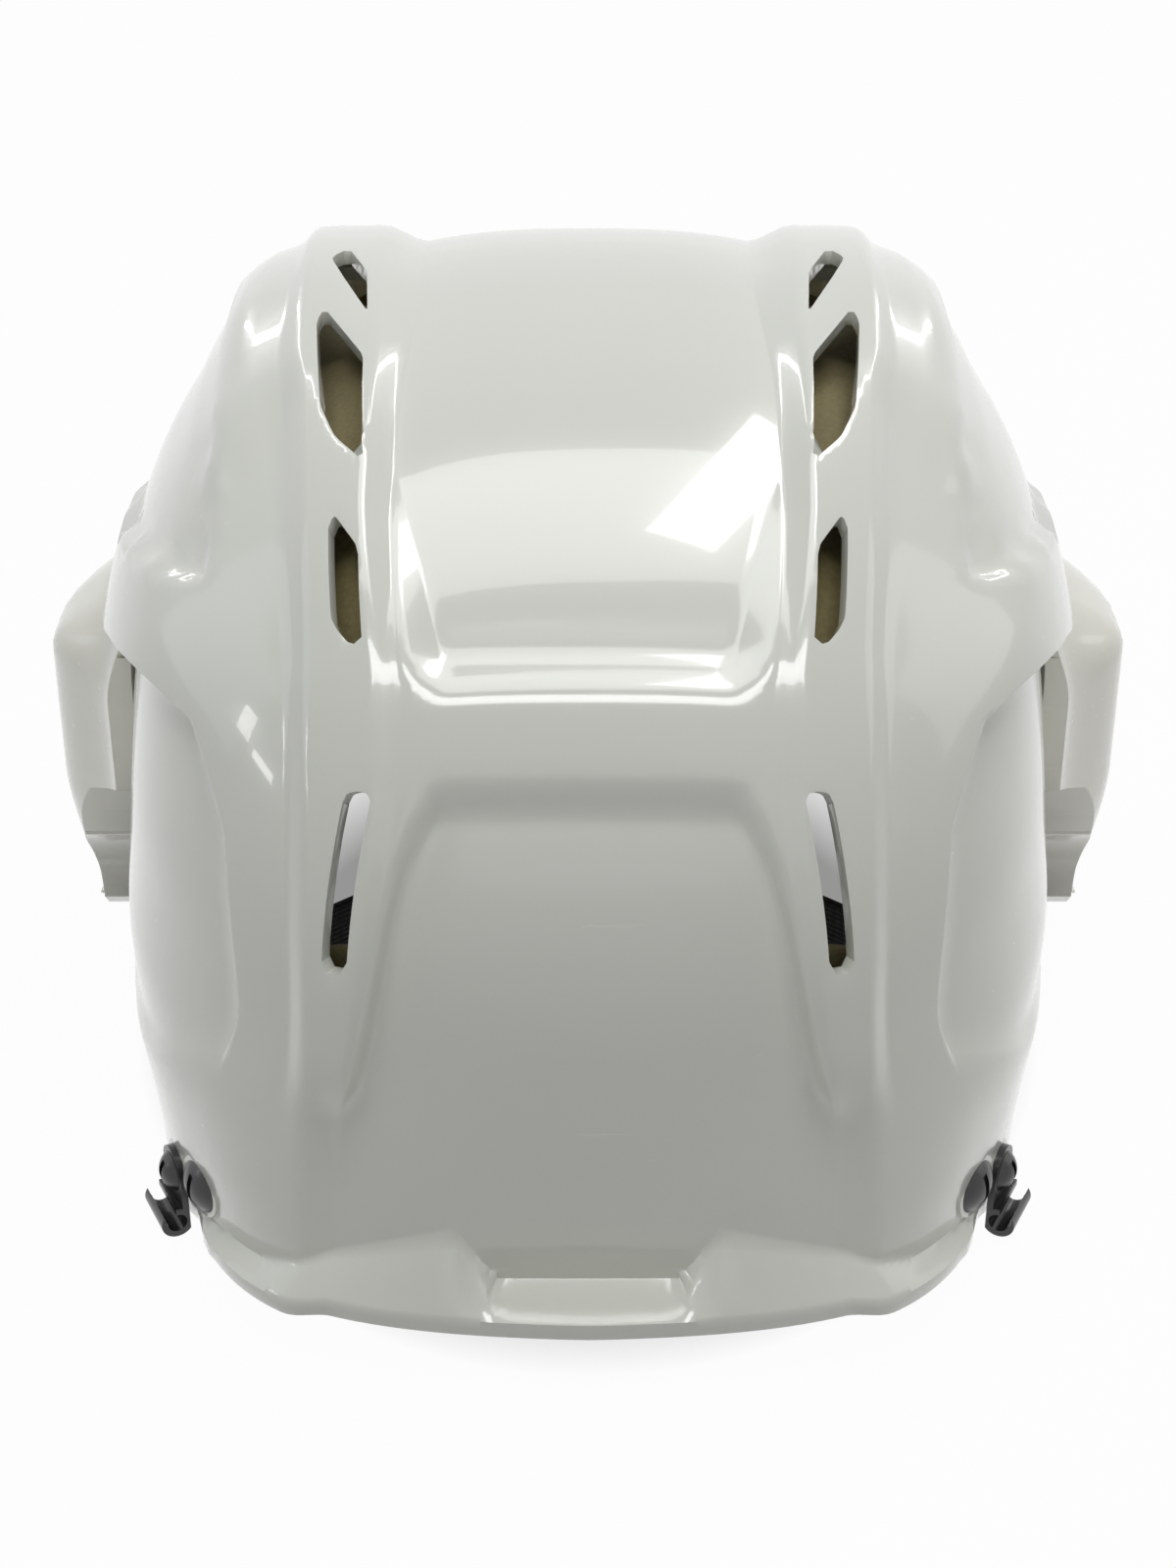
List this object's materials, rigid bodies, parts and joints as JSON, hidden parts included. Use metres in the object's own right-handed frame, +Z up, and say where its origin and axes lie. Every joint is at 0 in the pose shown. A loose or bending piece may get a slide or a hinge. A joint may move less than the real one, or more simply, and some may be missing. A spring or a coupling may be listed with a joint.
{
  "type": "hockey helmet",
  "caption": "Adjustable hockey helmet with a vented front shell, a sliding rear shell, foam liner, cage clips and a chin strap.",
  "frame": {"origin": "centre of the helmet's footprint, on the table it rests on", "axes": "-Y towards the brow, +X to the right of a viewer who faces the brow, +Z up"},
  "size_m": [0.2448, 0.2655, 0.1697],
  "materials": {
    "shell_white": "glossy off-white",
    "shell_cream": "glossy cream",
    "liner_foam": "fine closed-cell foam, olive tan",
    "black_hardware": "black coated",
    "bright_steel": "plated",
    "webbing": "woven black",
    "cup_plastic": "satin black"
  },
  "bodies": {
    "front": {"front_shell": "shell_white", "forehead_pad": "liner_foam", "temple_pad_left": "liner_foam", "temple_pad_right": "liner_foam", "crown_pad_left": "liner_foam", "crown_pad_right": "liner_foam", "side_pad_left": "liner_foam", "side_pad_right": "liner_foam", "visor_screws": "black_hardware", "visor_nuts": "bright_steel", "clip_screws": "black_hardware", "clip_nuts": "bright_steel", "adjust_screws": "black_hardware", "adjust_nuts": "bright_steel", "snap_studs": "bright_steel"},
    "rear": {"rear_shell": "shell_cream", "rear_crown_pad": "liner_foam", "rear_side_pad_left": "liner_foam", "rear_side_pad_right": "liner_foam", "occipital_pad": "liner_foam"},
    "left_clip": {"clip_left": "black_hardware"},
    "right_clip": {"clip_right": "black_hardware"},
    "strap": {"chin_webbing": "webbing", "snap_sockets": "bright_steel"},
    "cup": {"chin_cup": "cup_plastic"}
  },
  "joints": [
    {"name": "size_slide", "type": "slide", "parent": "front", "child": "rear", "axis": [0, 1, 0], "range_m": [0, 0.014]},
    {"name": "right_clip_hinge", "type": "hinge", "parent": "front", "child": "right_clip", "pos_m": [0.08504, -0.08274, 0.01584], "axis": [0.9022, -0.4313, 0], "range_deg": [-20, 20]},
    {"name": "left_clip_hinge", "type": "hinge", "parent": "front", "child": "left_clip", "pos_m": [-0.08504, -0.08274, 0.01584], "axis": [-0.9022, -0.4313, 0], "range_deg": [-20, 20]},
    {"name": "strap_swing", "type": "hinge", "parent": "front", "child": "strap", "pos_m": [0, -0.0485, 0.017], "axis": [1, 0, 0], "range_deg": [0, 35]},
    {"name": "cup_slide", "type": "slide", "parent": "strap", "child": "cup", "axis": [1, 0, 0], "range_m": [-0.008, 0.008]}
  ]
}
